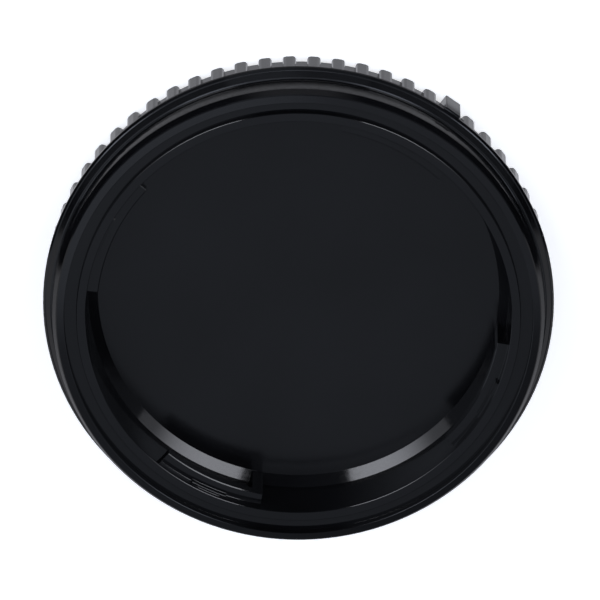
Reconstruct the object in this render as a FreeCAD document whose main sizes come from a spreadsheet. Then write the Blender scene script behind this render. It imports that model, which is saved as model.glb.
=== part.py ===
"""Rear lens cap: one black moulded disc with a grip of ribs outside and a four-lug bayonet inside.

Millimetres. The cap lies on its closed back, the axis is +Z, the origin is the middle of the back
face, and angles turn anticlockwise from +X when the open mouth is looked into from above.
"""
import FreeCAD
import Part
import Sketcher

import math
import os

doc = FreeCAD.newDocument("rear_cap")

SIZES = {
    # radii, counted outwards from the flat floor in the middle
    "floor_radius": 25.95,
    "floor_bevel_width": 1.20,
    "wall_draft": 0.35,
    "collar_width": 1.15,
    "groove_width": 1.60,
    "rim_face_width": 0.95,
    "rim_brow_width": 0.13,
    "rim_slope_width": 0.42,
    "rim_draft": 0.13,
    "ledge_width": 0.19,
    "shoulder_width": 0.55,
    "flange_land_width": 0.13,
    "flange_bevel_width": 0.25,
    # heights inside, counted up from the closed back
    "floor_thickness": 1.95,
    "floor_bevel_height": 1.25,
    "claw_room": 4.15,
    "lug_thickness": 1.43,
    "lug_setback": 1.62,
    "bore_land": 0.60,
    "rim_lead": 0.45,
    "groove_depth": 1.20,
    # heights outside, up from the back and then down from the front of the rim
    "grip_height": 5.10,
    "flange_thickness": 0.40,
    "flange_bevel_height": 0.35,
    "flange_land_height": 0.05,
    "shoulder_height": 0.68,
    "ledge_height": 0.06,
    "rim_face_drop": 0.19,
    "rim_brow_drop": 0.16,
    "rim_slope_drop": 0.88,
    # broken edges
    "rim_inner_break": 0.05,
    "collar_break": 0.05,
    "back_break": 0.50,
    # grip ribs and the index block that takes the place of one of them
    "rib_count": 64,
    "flange_overhang": 0.40,
    "rib_height": 0.88,
    "rib_width": 1.75,
    "rib_round": 0.45,
    "rib_back_gap": 0.50,
    "rib_tail": 0.45,
    "rib_angle": 52.7,
    "index_angle": 53.2,
    "index_height": 1.60,
    "index_width": 2.30,
    "index_back_gap": 1.25,
    "index_round": 0.12,
    # bayonet lugs, the pad on each and the stop that carries its anticlockwise end
    "lug_reach": 1.50,
    "lug_break": 0.10,
    "lug_round": 0.12,
    "lug_1_start": 317.0,
    "lug_1_span": 33.7,
    "lug_2_start": 229.7,
    "lug_2_span": 30.0,
    "lug_3_start": 138.6,
    "lug_3_span": 34.9,
    "lug_4_start": 46.0,
    "lug_4_span": 32.1,
    "pad_share": 0.34,
    "pad_width": 0.32,
    "pad_height": 0.92,
    "stop_span": 3.0,
}
LUG_NAMES = ("lug_1", "lug_2", "lug_3", "lug_4")
BITE = 0.4  # how far an added piece runs into the wall that carries it
BEND = 0.293  # how far the middle of a rounded corner stands back, in parts of its radius

sheet = doc.addObject("Spreadsheet::Sheet", "Sizes")
for row, (name, number) in enumerate(SIZES.items(), start=1):
    sheet.set(f"A{row}", name)
    sheet.set(f"B{row}", str(number))
    sheet.setAlias(f"B{row}", name)
doc.recompute()


class Size:
    """A length or angle kept both as a number and as the sheet expression that drives it."""

    def __init__(self, text, number):
        self.text = text
        self.number = number

    def __add__(self, other):
        other = plain(other)
        return Size(f"{self.text} + {other.text}", self.number + other.number)

    def __sub__(self, other):
        other = plain(other)
        return Size(f"{self.text} - ({other.text})", self.number - other.number)

    def __mul__(self, other):
        other = plain(other)
        return Size(f"({self.text}) * ({other.text})", self.number * other.number)


def plain(value):
    return value if isinstance(value, Size) else Size(str(value), value)


def size(name):
    return Size(f"Sizes.{name}", SIZES[name])


body = doc.addObject("PartDesign::Body", "rear_cap")


def origin_feature(role):
    for feature in body.Origin.OriginFeatures:
        if feature.Role == role:
            return feature
    raise RuntimeError(f"no {role} in the body's origin")


def checked(feature):
    """Recomputes and stops if the feature failed or left no shape."""
    doc.recompute()
    if "Invalid" in feature.State or "Error" in feature.State:
        raise RuntimeError(f"{feature.Name} failed: {feature.State}")
    if feature.isDerivedFrom("PartDesign::Feature"):
        if feature.Shape.isNull() or not feature.Shape.isValid():
            raise RuntimeError(f"{feature.Name} has no valid shape")
    return feature


def tie(sketch, constraint, driver):
    """Adds a sketch dimension and binds it to the sheet."""
    index = sketch.addConstraint(constraint)
    sketch.setExpression(f"Constraints[{index}]", driver.text)


def section_sketch(name, points, turn=None):
    """A closed outline of (radius, height) points on a plane through the axis, turned about it."""
    sketch = body.newObject("Sketcher::SketchObject", name)
    sketch.AttachmentSupport = [(origin_feature("XZ_Plane"), "")]
    sketch.MapMode = "FlatFace"
    if turn is not None:
        spin = FreeCAD.Rotation(FreeCAD.Vector(0, 1, 0), turn.number)
        sketch.AttachmentOffset = FreeCAD.Placement(FreeCAD.Vector(0, 0, 0), spin)
        sketch.setExpression("AttachmentOffset.Rotation.Angle", turn.text)
    spots = [FreeCAD.Vector(plain(r).number, plain(z).number, 0) for r, z in points]
    count = len(spots)
    for i in range(count):
        sketch.addGeometry(Part.LineSegment(spots[i], spots[(i + 1) % count]), False)
    for i in range(count):
        sketch.addConstraint(Sketcher.Constraint("Coincident", i, 2, (i + 1) % count, 1))
    for i, (radius, height) in enumerate(points):
        if plain(radius).number == 0:
            sketch.addConstraint(Sketcher.Constraint("PointOnObject", i, 1, -2))
        else:
            tie(sketch, Sketcher.Constraint("DistanceX", -1, 1, i, 1, spots[i].x), plain(radius))
        if plain(height).number == 0:
            sketch.addConstraint(Sketcher.Constraint("PointOnObject", i, 1, -1))
        else:
            tie(sketch, Sketcher.Constraint("DistanceY", -1, 1, i, 1, spots[i].y), plain(height))
    return checked(sketch)


def turned(kind, name, sketch, span=None):
    """Spins an outline about the axis, as added or cut material, the whole way or over a span."""
    feature = body.newObject(f"PartDesign::{kind}", name)
    feature.Profile = sketch
    feature.ReferenceAxis = (sketch, ["V_Axis"])
    feature.Angle = 360.0 if span is None else span.number
    if span is not None:
        feature.setExpression("Angle", span.text)
    return checked(feature)


def ring_edges(shape, radius, height):
    """Names of the round edges about the axis with this radius at this height."""
    names = []
    for i, edge in enumerate(shape.Edges, start=1):
        if not isinstance(edge.Curve, Part.Circle):
            continue
        centre = edge.Curve.Center
        if math.hypot(centre.x, centre.y) > 0.01 or abs(centre.z - height) > 0.01:
            continue
        if abs(edge.Curve.Radius - radius) < 0.01:
            names.append(f"Edge{i}")
    if not names:
        raise RuntimeError(f"no round edge of radius {radius:.2f} at height {height:.2f}")
    return names


def upright_edges(shape, radius, angles):
    """Names of the edges parallel to the axis at this radius and at one of these angles."""
    spots = [(radius * math.cos(math.radians(a)), radius * math.sin(math.radians(a))) for a in angles]
    names = []
    for i, edge in enumerate(shape.Edges, start=1):
        if not isinstance(edge.Curve, Part.Line) or abs(edge.Curve.Direction.z) < 0.999:
            continue
        foot = edge.Vertexes[0].Point
        if any(math.hypot(foot.x - x, foot.y - y) < 0.01 for x, y in spots):
            names.append(f"Edge{i}")
    if len(names) < len(angles):
        raise RuntimeError(f"no upright edges at radius {radius:.2f} and angles {angles}")
    return names


def softened(kind, name, base, edges, amount):
    """Rounds (Fillet) or breaks (Chamfer) the named edges of a feature."""
    feature = body.newObject(f"PartDesign::{kind}", name)
    feature.Base = (base, edges)
    driven = "Radius" if kind == "Fillet" else "Size"
    setattr(feature, driven, amount.number)
    feature.setExpression(driven, amount.text)
    return checked(feature)


# Radii, from the flat floor outwards.
floor_edge = size("floor_radius")
wall_foot = floor_edge + size("floor_bevel_width")
bore = wall_foot + size("wall_draft")
collar_outside = bore + size("collar_width")
rim_inside = collar_outside + size("groove_width")
rim_brow = rim_inside + size("rim_face_width")
rim_corner = rim_brow + size("rim_brow_width")
rim_wall = rim_corner + size("rim_slope_width")
rim_foot = rim_wall + size("rim_draft")
ledge_edge = rim_foot + size("ledge_width")
shoulder_foot = ledge_edge + size("shoulder_width")
flange_land = shoulder_foot + size("flange_land_width")
flange = flange_land + size("flange_bevel_width")
rib_crest = flange - size("flange_overhang")
barrel = rib_crest - size("rib_height")
lug_tip = bore - size("lug_reach")

# Heights, from the closed back upwards.
floor_top = size("floor_thickness")
bevel_top = floor_top + size("floor_bevel_height")
lug_back = bevel_top + size("claw_room")
lug_front = lug_back + size("lug_thickness")
collar_top = lug_front + size("lug_setback")
land_foot = collar_top - size("bore_land")
rim_front = collar_top + size("rim_lead")
groove_floor = rim_front - size("groove_depth")
flange_back = size("grip_height")
flange_corner = flange_back + size("flange_thickness")
land_low = flange_corner + size("flange_bevel_height")
shoulder_low = land_low + size("flange_land_height")
shoulder_high = shoulder_low + size("shoulder_height")
ledge_high = shoulder_high + size("ledge_height")
brow_height = rim_front - size("rim_face_drop")
corner_height = brow_height - size("rim_brow_drop")
wall_height = corner_height - size("rim_slope_drop")

outline = section_sketch("cap_outline", [
    (0, 0),
    (barrel, 0),
    (barrel, flange_back),
    (flange, flange_back),
    (flange, flange_corner),
    (flange_land, land_low),
    (shoulder_foot, shoulder_low),
    (ledge_edge, shoulder_high),
    (rim_foot, ledge_high),
    (rim_wall, wall_height),
    (rim_corner, corner_height),
    (rim_brow, brow_height),
    (rim_inside, rim_front),
    (rim_inside, groove_floor),
    (collar_outside, groove_floor),
    (collar_outside, collar_top),
    (bore, collar_top),
    (bore, land_foot),
    (wall_foot, bevel_top),
    (floor_edge, floor_top),
    (0, floor_top),
])
shell = turned("Revolution", "cap_shell", outline)

cap = shell
for name, radius, height, amount in (
    ("back_break", barrel, plain(0.0), size("back_break")),
    ("rim_inner_break", rim_inside, rim_front, size("rim_inner_break")),
    ("collar_outer_break", collar_outside, collar_top, size("collar_break")),
    ("collar_inner_break", bore, collar_top, size("collar_break")),
):
    rings = ring_edges(cap.Shape, radius.number, height.number)
    cap = softened("Chamfer", name, cap, rings, amount)

# Bayonet: each lug stands out of the wall, carries a low pad along the wall and ends, at its
# anticlockwise end, in a stop that reaches down to the floor.
for name in LUG_NAMES:
    start = size(f"{name}_start")
    span = size(f"{name}_span")
    lug_section = section_sketch(f"{name}_section", [
        (lug_tip, lug_back),
        (bore + BITE, lug_back),
        (bore + BITE, lug_front),
        (lug_tip + size("lug_break"), lug_front),
        (lug_tip, lug_front - size("lug_break")),
    ], start)
    turned("Revolution", name, lug_section, span)

    stop_section = section_sketch(f"{name}_stop_section", [
        (lug_tip, floor_top - BITE),
        (bore + BITE, floor_top - BITE),
        (bore + BITE, lug_front - size("lug_break")),
        (lug_tip, lug_front - size("lug_break")),
    ], start + span - size("stop_span"))
    stop = turned("Revolution", f"{name}_stop", stop_section, size("stop_span"))
    ends = (start.number, start.number + span.number)
    corners = upright_edges(stop.Shape, lug_tip.number, ends)
    softened("Fillet", f"{name}_rounding", stop, corners, size("lug_round"))

    pad_section = section_sketch(f"{name}_pad_section", [
        (bore - size("pad_width"), lug_front - BITE),
        (bore + BITE, lug_front - BITE),
        (bore + BITE, lug_front + size("pad_height")),
        (bore - size("pad_width"), lug_front + size("pad_height")),
    ], start + span * 0.5 - span * size("pad_share") * 0.5)
    turned("Revolution", f"{name}_pad", pad_section, span * size("pad_share"))


def rib_sketch(name, angle, back_gap, width, crest, corner):
    """Cross-section of one rib lying along an angle, its two crest corners rounded in two flats."""
    sketch = body.newObject("Sketcher::SketchObject", name)
    sketch.AttachmentSupport = [(origin_feature("XY_Plane"), "")]
    sketch.MapMode = "FlatFace"
    spin = FreeCAD.Rotation(FreeCAD.Vector(0, 0, 1), angle.number)
    sketch.AttachmentOffset = FreeCAD.Placement(FreeCAD.Vector(0, 0, back_gap.number), spin)
    sketch.setExpression("AttachmentOffset.Rotation.Angle", angle.text)
    sketch.setExpression("AttachmentOffset.Base.z", back_gap.text)
    profile = [
        (barrel - BITE, width),
        (crest - corner, width),
        (crest - corner * BEND, width - corner * (2 * BEND)),
        (crest, width - corner * 2),
    ]
    spots = [FreeCAD.Vector(reach.number, -breadth.number / 2, 0) for reach, breadth in profile]
    spots += [FreeCAD.Vector(spot.x, -spot.y, 0) for spot in reversed(spots)]
    last = len(spots) - 1
    for i in range(last):
        sketch.addGeometry(Part.LineSegment(spots[i], spots[i + 1]), False)
    sketch.addGeometry(Part.LineSegment(spots[last], spots[0]), False)
    for i in range(last + 1):
        sketch.addConstraint(Sketcher.Constraint("Coincident", i, 2, (i + 1) % (last + 1), 1))
    for i, (reach, breadth) in enumerate(profile):
        mirrored = last - i
        sketch.addConstraint(Sketcher.Constraint("Symmetric", i, 1, mirrored, 1, -1))
        tie(sketch, Sketcher.Constraint("DistanceX", -1, 1, i, 1, reach.number), reach)
        tie(sketch, Sketcher.Constraint("DistanceY", i, 1, mirrored, 1, breadth.number), breadth)
    return checked(sketch)


def raised(name, sketch, length):
    """Pads a rib section up to the flange."""
    feature = body.newObject("PartDesign::Pad", name)
    feature.Profile = sketch
    feature.Length = length.number
    feature.setExpression("Length", length.text)
    return checked(feature)


rib_back = size("rib_back_gap")
rib_section = rib_sketch(
    "rib_section", size("rib_angle"), rib_back, size("rib_width"), rib_crest, size("rib_round"))
rib = raised("rib", rib_section, flange_back - rib_back)
ribs = body.newObject("PartDesign::PolarPattern", "ribs")
ribs.Originals = [rib]
ribs.Axis = (origin_feature("Z_Axis"), [""])
ribs.Angle = 360.0
ribs.Occurrences = int(SIZES["rib_count"])
ribs.setExpression("Occurrences", size("rib_count").text)
body.Tip = ribs
checked(ribs)

# The back ends of the ribs slope into the barrel.
tail_section = section_sketch("rib_tail_section", [
    (barrel, rib_back),
    (rib_crest + BITE, rib_back),
    (rib_crest + BITE, rib_back + size("rib_tail")),
])
turned("Groove", "rib_tails", tail_section)

index_back = size("index_back_gap")
index_crest = barrel + size("index_height")
index_section = rib_sketch(
    "index_section", size("index_angle"), index_back, size("index_width"), index_crest, size("index_round"))
raised("index", index_section, flange_back - index_back)

doc.recompute()
for item in doc.Objects:
    if "Invalid" in item.State or "Error" in item.State:
        raise RuntimeError(f"{item.Name} failed: {item.State}")
whole = body.Shape
if not whole.isValid() or len(whole.Solids) != 1:
    raise RuntimeError(f"the cap is {len(whole.Solids)} solids")
print(f"volume {whole.Volume:.0f} mm3")

os.makedirs("parts", exist_ok=True)
whole.exportStep("parts/rear_cap.step")
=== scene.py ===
"""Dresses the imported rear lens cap: satin black moulded plastic on a white studio floor.

Metres. In the picture +Y is up and +X is right, so below "upper" means the +Y side and "lower" the -Y side.
"""
import math

import bpy
from mathutils import Matrix, Vector

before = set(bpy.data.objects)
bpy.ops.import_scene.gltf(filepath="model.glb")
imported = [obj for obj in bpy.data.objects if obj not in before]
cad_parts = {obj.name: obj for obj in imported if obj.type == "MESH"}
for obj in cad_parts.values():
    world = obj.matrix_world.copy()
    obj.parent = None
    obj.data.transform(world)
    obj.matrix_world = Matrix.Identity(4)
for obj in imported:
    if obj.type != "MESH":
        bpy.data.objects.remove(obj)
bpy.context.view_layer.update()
scene = bpy.context.scene
scene.view_settings.view_transform = "Standard"
MM = 0.001
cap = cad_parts["rear_cap"]


def link(tree, source, target):
    tree.links.new(source, target)


def math_node(tree, operation, first, second=0):
    """A Math node of two values, each a number or another node's output."""
    node = tree.nodes.new("ShaderNodeMath")
    node.operation = operation
    for socket, value in zip(node.inputs, (first, second)):
        if isinstance(value, (int, float)):
            socket.default_value = value
        else:
            link(tree, value, socket)
    return node.outputs["Value"]


def product(tree, result, *factors):
    """Several values multiplied."""
    for factor in factors:
        result = math_node(tree, "MULTIPLY", result, factor)
    return result


def largest(tree, result, *others):
    """The largest of several values."""
    for other in others:
        result = math_node(tree, "MAXIMUM", result, other)
    return result


def length_node(tree, first, second):
    """The length of a flat vector."""
    squares = math_node(tree, "ADD", math_node(tree, "POWER", first, 2), math_node(tree, "POWER", second, 2))
    return math_node(tree, "SQRT", squares)


def split_node(tree, vector):
    """The X, Y and Z of a vector."""
    node = tree.nodes.new("ShaderNodeSeparateXYZ")
    link(tree, vector, node.inputs["Vector"])
    return node.outputs["X"], node.outputs["Y"], node.outputs["Z"]


def ramp_node(tree, value, span, levels):
    """A smooth step from the first level to the second while value crosses the span."""
    node = tree.nodes.new("ShaderNodeMapRange")
    node.interpolation_type = "SMOOTHSTEP"
    for name, number in zip(("From Min", "From Max", "To Min", "To Max"), (*span, *levels)):
        node.inputs[name].default_value = number
    link(tree, value, node.inputs["Value"])
    return node.outputs["Result"]


def noise_node(tree, vector, scale, detail):
    node = tree.nodes.new("ShaderNodeTexNoise")
    node.inputs["Scale"].default_value = scale
    node.inputs["Detail"].default_value = detail
    link(tree, vector, node.inputs["Vector"])
    return node.outputs["Fac"]


# Surface: square corners broken as a mould leaves them, broad faces shaded smoothly up to each edge.
WELD_REACH = 0.002 * MM
CORNER_BREAK = 0.03 * MM
CORNER_ANGLE = math.radians(60)
SHARP_ANGLE = math.radians(12)
BROAD_FACE_WEIGHT = 90


def soften_edges(part):
    for polygon in part.data.polygons:
        polygon.use_smooth = True
    weld = part.modifiers.new("weld", "WELD")
    weld.merge_threshold = WELD_REACH
    bevel = part.modifiers.new("edge_round", "BEVEL")
    bevel.width = CORNER_BREAK
    bevel.segments = 1
    bevel.limit_method = "ANGLE"
    bevel.angle_limit = CORNER_ANGLE
    bevel.use_clamp_overlap = False
    edges = part.modifiers.new("sharp_edges", "EDGE_SPLIT")
    edges.use_edge_sharp = False
    edges.split_angle = SHARP_ANGLE
    shading = part.modifiers.new("broad_faces", "WEIGHTED_NORMAL")
    shading.mode = "FACE_AREA_WITH_ANGLE"
    shading.weight = BROAD_FACE_WEIGHT


soften_edges(cap)

# Finish: an uneven black with a fine grain all over, and a floor inside the cap that is more frosted.
NOISE_SPAN = (0.3, 0.7)
BLACKS = ((0.0020, 0.0020, 0.0023, 1), (0.0040, 0.0040, 0.0046, 1))
CLOUD_SCALE = 55
CLOUD_DETAIL = 2
GRAIN_SCALE = 2500
GRAIN_DETAIL = 3
GRAIN_ROUGHNESS = (0.075, 0.115)
GRAIN_BUMP = 0.02
GRAIN_DEPTH = 0.01 * MM
FROSTED_ROUGHNESS = 0.11
FROSTED_EDGE = (25.90 * MM, 26.00 * MM)
BACK_EDGE = (0.90 * MM, 1.00 * MM)


def black_plastic():
    material = bpy.data.materials.new("black_plastic")
    material.use_nodes = True
    tree = material.node_tree
    shader = tree.nodes["Principled BSDF"]
    place = tree.nodes.new("ShaderNodeTexCoord").outputs["Object"]
    grain = noise_node(tree, place, GRAIN_SCALE, GRAIN_DETAIL)

    blacks = tree.nodes.new("ShaderNodeValToRGB")
    for stop, colour, position in zip(blacks.color_ramp.elements, BLACKS, NOISE_SPAN):
        stop.color = colour
        stop.position = position
    link(tree, noise_node(tree, place, CLOUD_SCALE, CLOUD_DETAIL), blacks.inputs["Fac"])
    link(tree, blacks.outputs["Color"], shader.inputs["Base Color"])

    across, along, height = split_node(tree, place)
    radius = length_node(tree, across, along)
    frosted = product(tree, ramp_node(tree, radius, FROSTED_EDGE, (FROSTED_ROUGHNESS, 0)),
                      ramp_node(tree, height, BACK_EDGE, (0, 1)))
    roughness = math_node(tree, "ADD", ramp_node(tree, grain, NOISE_SPAN, GRAIN_ROUGHNESS), frosted)
    link(tree, roughness, shader.inputs["Roughness"])

    bump = tree.nodes.new("ShaderNodeBump")
    bump.inputs["Strength"].default_value = GRAIN_BUMP
    bump.inputs["Distance"].default_value = GRAIN_DEPTH
    link(tree, grain, bump.inputs["Height"])
    link(tree, bump.outputs["Normal"], shader.inputs["Normal"])
    return material


cap.data.materials.clear()
cap.data.materials.append(black_plastic())

# Floor: white to the camera and darker where the cap shades it. In the cap's gloss it glows with a painted
# reflection pattern of its own, though it is no lamp: pale close by, where the ribs mirror it, and in a soft
# ring that the rim's wall mirrors, grey on the lower side and in a wedge on the upper side, and dark
# elsewhere.
# These glow levels paint the highlights and dark bands seen on the cap.
FLOOR_HALF = 1.5
FLOOR_DROP = 0.02 * MM
FLOOR_COLOUR = (0.9, 0.9, 0.9, 1)
CAMERA_GLOW = 0.60
PAINTED_REFLECTION_COLOUR = (0.96, 0.975, 1.05, 1)
RIB_EDGE = (34.2 * MM, 35.4 * MM)
RIB_LEVELS = (0.90, 0.06)
NEAR_END = (38.0 * MM, 39.5 * MM)
RING_SHIFT = 3.4 * MM
RING_RISE = (32.45 * MM, 33.15 * MM)
RING_FALL = (33.2 * MM, 33.7 * MM)
RING_LEVEL = 0.53
RING_RIGHT = (20 * MM, 30 * MM)
RING_RIGHT_SHARE = 0.35
LOWER_SLOPE = -0.05
LOWER_EDGE = (-2 * MM, 2 * MM)
LOWER_LEVEL = 0.37
WEDGE_SLOPE = 0.23
WEDGE_EDGE = (-8 * MM, 8 * MM)
WEDGE_LEVEL = 0.22


def painted_reflection_level(tree):
    """How bright each place of the floor glows in the cap's gloss: a painted reflection, not lit by any lamp.
    """
    place = tree.nodes.new("ShaderNodeTexCoord")
    rightwards, along, _ = split_node(tree, place.outputs["Object"])
    across = math_node(tree, "ABSOLUTE", rightwards)
    reach = length_node(tree, across, along)

    ring_reach = length_node(tree, across, math_node(tree, "SUBTRACT", along, RING_SHIFT))
    ring = product(tree, ramp_node(tree, ring_reach, RING_RISE, (0, RING_LEVEL)),
                   ramp_node(tree, ring_reach, RING_FALL, (1, 0)),
                   ramp_node(tree, rightwards, RING_RIGHT, (1, RING_RIGHT_SHARE)))
    under_ribs = ramp_node(tree, reach, RIB_EDGE, RIB_LEVELS)
    near = product(tree, largest(tree, ring, under_ribs), ramp_node(tree, reach, NEAR_END, (1, 0)))

    lower_edge = math_node(tree, "ADD", along, product(tree, across, LOWER_SLOPE))
    lower = ramp_node(tree, lower_edge, LOWER_EDGE, (LOWER_LEVEL, 0))
    wedge_edge = math_node(tree, "SUBTRACT", across, product(tree, along, WEDGE_SLOPE))
    wedge = product(tree, ramp_node(tree, wedge_edge, WEDGE_EDGE, (WEDGE_LEVEL, 0)),
                    ramp_node(tree, reach, NEAR_END, (0, 1)))
    return largest(tree, near, lower, wedge)


def floor_material():
    material = bpy.data.materials.new("studio_floor")
    material.use_nodes = True
    tree = material.node_tree
    tree.nodes.clear()
    path = tree.nodes.new("ShaderNodeLightPath")

    matt = tree.nodes.new("ShaderNodeBsdfDiffuse")
    matt.inputs["Color"].default_value = FLOOR_COLOUR
    glow = tree.nodes.new("ShaderNodeEmission")
    link(tree, product(tree, path.outputs["Is Camera Ray"], CAMERA_GLOW), glow.inputs["Strength"])
    seen = tree.nodes.new("ShaderNodeAddShader")
    link(tree, matt.outputs["BSDF"], seen.inputs[0])
    link(tree, glow.outputs["Emission"], seen.inputs[1])

    # Painted reflection: the floor glows in this pattern only to glossy and transmission rays.
    painted_reflection_glow = tree.nodes.new("ShaderNodeEmission")
    painted_reflection_glow.inputs["Color"].default_value = PAINTED_REFLECTION_COLOUR
    link(tree, painted_reflection_level(tree), painted_reflection_glow.inputs["Strength"])
    in_gloss = largest(tree, path.outputs["Is Glossy Ray"], path.outputs["Is Transmission Ray"])
    choose = tree.nodes.new("ShaderNodeMixShader")
    link(tree, in_gloss, choose.inputs["Fac"])
    link(tree, seen.outputs["Shader"], choose.inputs[1])
    link(tree, painted_reflection_glow.outputs["Emission"], choose.inputs[2])
    out = tree.nodes.new("ShaderNodeOutputMaterial")
    link(tree, choose.outputs["Shader"], out.inputs["Surface"])
    return material


floor_mesh = bpy.data.meshes.new("floor")
corners = [(-FLOOR_HALF, -FLOOR_HALF, 0), (FLOOR_HALF, -FLOOR_HALF, 0),
           (FLOOR_HALF, FLOOR_HALF, 0), (-FLOOR_HALF, FLOOR_HALF, 0)]
floor_mesh.from_pydata(corners, [], [(0, 1, 2, 3)])
floor_mesh.materials.append(floor_material())
floor = bpy.data.objects.new("floor", floor_mesh)
scene.collection.objects.link(floor)
floor.location.z = -FLOOR_DROP

# World: a dim room that brightens towards the upper side and the left, as the gloss on the cap's floor shows.
# Its upper half is dark low down and in the middle. Pale screens stand high up there, one on each side and a
# narrow one across, which the cap's walls and floor mirror.
# Spans are parts of a direction of length 1, so a height is the sine of the angle above the floor.
ROOM_COLOUR = (0.92, 1.00, 1.17, 1)
ROOM_LEVEL = 0.285
DARK_LEVEL = 0.02
UPPER_EDGE = (-0.05, 0.05)
MIDDLE_SLOPE = 0.45
MIDDLE_EDGE = (-0.06, 0.06)
MIDDLE_TOP = (0.92, 0.97)
LOW_TOP = (0.22, 0.36)
LOW_SIDE_LEVEL = 0.10
HORIZON_TOP = (0.22, 0.32)
HORIZON_SHARE = 0.45
BRIGHTEN_ALONG = (-0.47, -0.33)
ALONG_SHARES = (0.55, 1.45)
BRIGHTEN_ACROSS = (-0.09, 0.09)
ACROSS_SHARES = (1.25, 0.75)
SCREEN_HALF = (0.0, 0.06)
SIDE_SCREEN_EDGE = (-0.08, 0.38)
SIDE_SCREEN_FOOT = (0.45, 0.55)
SIDE_SCREEN_TOP = (0.875, 0.89)
SIDE_SCREEN_LEVEL = 2.8
CROSS_SCREEN_FOOT = (0.94, 0.955)
CROSS_SCREEN_TOP = (0.965, 0.975)
CROSS_SCREEN_LEVEL = 2.0


def band_node(tree, height, foot, top, level):
    """A level band between two heights."""
    return product(tree, ramp_node(tree, height, foot, (0, level)), ramp_node(tree, height, top, (1, 0)))


def room_level(tree):
    """How bright the room is in each direction."""
    place = tree.nodes.new("ShaderNodeTexCoord")
    rightwards, along, height = split_node(tree, place.outputs["Generated"])
    across = math_node(tree, "ABSOLUTE", rightwards)

    upper_edge = math_node(tree, "ADD", along, product(tree, across, LOWER_SLOPE))
    upper = ramp_node(tree, upper_edge, UPPER_EDGE, (0, 1))
    middle_edge = math_node(tree, "SUBTRACT", across, product(tree, along, MIDDLE_SLOPE))
    aside = ramp_node(tree, middle_edge, MIDDLE_EDGE, (0, 1))
    middle = math_node(tree, "SUBTRACT", 1, aside)
    low = ramp_node(tree, height, LOW_TOP, (1, 0))
    middle_dark = product(tree, middle, ramp_node(tree, height, MIDDLE_TOP, (1, 0)))
    horizon = product(tree, middle, ramp_node(tree, height, HORIZON_TOP, (HORIZON_SHARE, 0)))
    dark = math_node(tree, "SUBTRACT", largest(tree, low, middle_dark), horizon)

    room = product(tree, ramp_node(tree, product(tree, upper, dark), (0, 1), (ROOM_LEVEL, DARK_LEVEL)),
                   ramp_node(tree, along, BRIGHTEN_ALONG, ALONG_SHARES),
                   ramp_node(tree, rightwards, BRIGHTEN_ACROSS, ACROSS_SHARES))
    low_side = product(tree, aside, low, LOW_SIDE_LEVEL)
    screen_half = ramp_node(tree, along, SCREEN_HALF, (0, 1))
    side_screens = product(tree, screen_half, ramp_node(tree, middle_edge, SIDE_SCREEN_EDGE, (0, 1)),
                           band_node(tree, height, SIDE_SCREEN_FOOT, SIDE_SCREEN_TOP, SIDE_SCREEN_LEVEL))
    cross_screen = product(tree, screen_half,
                           band_node(tree, height, CROSS_SCREEN_FOOT, CROSS_SCREEN_TOP, CROSS_SCREEN_LEVEL))
    return largest(tree, room, low_side, side_screens, cross_screen)


def studio_room():
    world = bpy.data.worlds.new("room")
    world.use_nodes = True
    tree = world.node_tree
    sky = tree.nodes["Background"]
    sky.inputs["Color"].default_value = ROOM_COLOUR
    path = tree.nodes.new("ShaderNodeLightPath")
    link(tree, largest(tree, room_level(tree), path.outputs["Is Camera Ray"]), sky.inputs["Strength"])
    return world


scene.world = studio_room()

# Lamps: two long low softboxes side by side in a wall on the upper side, with a gap between them. Each fades
# towards its outer end.
LAMP_WALL = 0.60
LAMP_LEVEL = 4.6
LAMP_FAINT = 0.16
LAMP_COLOUR = (0.95, 0.97, 1.05)
LAMP_FOOT = 0.225
LAMP_TOP = 0.42
LAMPS = {
    # the side it stands on, its inner and outer end, and where it starts and stops fading
    "lamp_right": (1, (0.26, 1.55), (0.46, 1.16)),
    "lamp_left": (-1, (0.23, 1.25), (0.38, 0.96)),
}


def softbox(name, side, ends, fade):
    width = ends[1] - ends[0]
    height = LAMP_TOP - LAMP_FOOT
    lamp = bpy.data.lights.new(name, "AREA")
    lamp.shape = "RECTANGLE"
    lamp.color = LAMP_COLOUR
    lamp.size = width
    lamp.size_y = height
    lamp.energy = LAMP_LEVEL * math.pi * width * height

    lamp.use_nodes = True
    tree = lamp.node_tree
    rightwards, _, _ = split_node(tree, tree.nodes.new("ShaderNodeNewGeometry").outputs["Position"])
    strength = ramp_node(tree, math_node(tree, "ABSOLUTE", rightwards), fade, (1, LAMP_FAINT))
    link(tree, strength, tree.nodes["Emission"].inputs["Strength"])

    stand = bpy.data.objects.new(name, lamp)
    scene.collection.objects.link(stand)
    stand.location = (side * sum(ends) / 2, LAMP_WALL, (LAMP_FOOT + LAMP_TOP) / 2)
    stand.rotation_euler = (-math.pi / 2, 0, 0)


for lamp_name, facts in LAMPS.items():
    softbox(lamp_name, *facts)

# Camera: above the cap and somewhat to its upper side, rolled so that +Y is up in the picture.
TILT = math.radians(23.57)
DISTANCE = 2.0
AIM_HEIGHT = 5.7 * MM
SHIFT_RIGHT = 0.196 * MM
SHIFT_UP = 0.46 * MM
FRAME_WIDTH = 77.49 * MM
CLIP_END = 10
right = Vector((1, 0, 0))
up = Vector((0, math.cos(TILT), -math.sin(TILT)))
back = Vector((0, math.sin(TILT), math.cos(TILT)))
place = Vector((0, 0, AIM_HEIGHT)) + back * DISTANCE + right * SHIFT_RIGHT + up * SHIFT_UP
lens = bpy.data.cameras.new("camera")
lens.sensor_fit = "HORIZONTAL"
lens.angle = 2 * math.atan(FRAME_WIDTH / 2 / DISTANCE)
lens.clip_end = CLIP_END
camera = bpy.data.objects.new("camera", lens)
scene.collection.objects.link(camera)
camera.matrix_world = Matrix((
    (right.x, up.x, back.x, place.x),
    (right.y, up.y, back.y, place.y),
    (right.z, up.z, back.z, place.z),
    (0, 0, 0, 1),
))
scene.camera = camera
